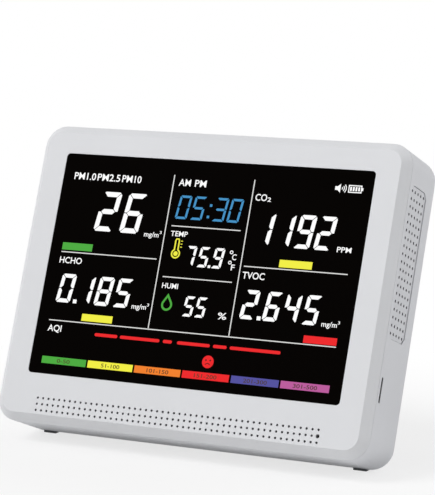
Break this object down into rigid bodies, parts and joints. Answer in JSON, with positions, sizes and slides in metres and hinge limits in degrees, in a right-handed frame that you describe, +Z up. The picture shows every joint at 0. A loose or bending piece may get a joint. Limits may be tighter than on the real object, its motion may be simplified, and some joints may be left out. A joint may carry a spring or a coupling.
{
  "type": "air quality monitor",
  "caption": "Desktop air quality monitor: wide display over a speaker grille in a light grey case that leans on a folding rear stand, with rocker keys on top.",
  "frame": {"origin": "on the surface it stands on, under the middle of the whole object", "axes": "+X to the right of a viewer facing the display, -Y the way the display faces, +Z up"},
  "size_m": [0.202, 0.088, 0.1544],
  "materials": {
    "front_plastic": "fine matt",
    "case_plastic": "fine matt",
    "key_plastic": "fine matt",
    "grille_plastic": "fine matt",
    "stand_plastic": "fine matt",
    "black_window": "gloss",
    "black_foam": "matt",
    "lcd_glass": "satin",
    "white_plastic": "satin",
    "polyimide_film": "satin",
    "circuit_board": "satin",
    "shield_metal": "satin",
    "foil_cell": "satin",
    "white_foam": "matt",
    "red_lead": "satin",
    "black_plastic": "matt",
    "speaker_cloth": "matt",
    "sensor_plastic": "satin",
    "gold_can": "satin",
    "socket_steel": "satin",
    "black_steel": "satin",
    "grey_rubber": "matt"
  },
  "bodies": {
    "case": {"front_shell": "front_plastic", "rear_shell": "case_plastic", "display_window": "black_window", "window_adhesive": "black_foam", "lcd_panel": "lcd_glass", "backlight": "white_plastic", "display_frame": "white_plastic", "display_ribbon": "polyimide_film", "main_board": "circuit_board", "main_board_parts": "shield_metal", "battery_cell": "foil_cell", "battery_pad": "white_foam", "battery_lead": "red_lead", "speaker": "black_plastic", "speaker_mesh": "speaker_cloth", "speaker_lead": "red_lead", "light_sensor": "black_plastic", "pm_sensor_case": "sensor_plastic", "pm_sensor_cover": "shield_metal", "sensor_board": "circuit_board", "co2_sensor": "gold_can", "formaldehyde_sensor": "sensor_plastic", "voc_sensor": "shield_metal", "humidity_sensor": "white_plastic", "usb_c_socket": "socket_steel", "power_board": "circuit_board", "card_socket": "socket_steel", "card_board": "circuit_board", "button_board": "circuit_board", "tact_switches": "black_plastic", "vent_grille_right": "grille_plastic", "vent_grille_left": "grille_plastic", "stand_pins": "socket_steel", "foot_pads": "grey_rubber", "case_screws": "black_steel", "small_screws": "socket_steel"},
    "stand": {"stand": "stand_plastic", "stand_pad": "grey_rubber"},
    "outer_key": {"key_outer": "key_plastic"},
    "inner_key": {"key_inner": "key_plastic"},
    "fan": {"pm_fan_rotor": "black_plastic"}
  },
  "joints": [
    {"name": "stand_hinge", "type": "hinge", "parent": "case", "child": "stand", "pos_m": [0, 0.01542, 0.06434], "axis": [1, 0, 0], "range_deg": [-37.41, 0]},
    {"name": "outer_key_rock", "type": "hinge", "parent": "case", "child": "outer_key", "pos_m": [0.0595, 0.02203, 0.14505], "axis": [0, 0.9397, -0.342], "range_deg": [-1.4, 1.4], "stiffness_Nm_per_rad": 0.1},
    {"name": "inner_key_rock", "type": "hinge", "parent": "case", "child": "inner_key", "pos_m": [0.0205, 0.02203, 0.14505], "axis": [0, 0.9397, -0.342], "range_deg": [-1.4, 1.4], "stiffness_Nm_per_rad": 0.1},
    {"name": "fan_spin", "type": "hinge", "parent": "case", "child": "fan", "pos_m": [0.062, 0.01839, 0.09998], "axis": [0, 0.9397, -0.342], "continuous": true}
  ]
}
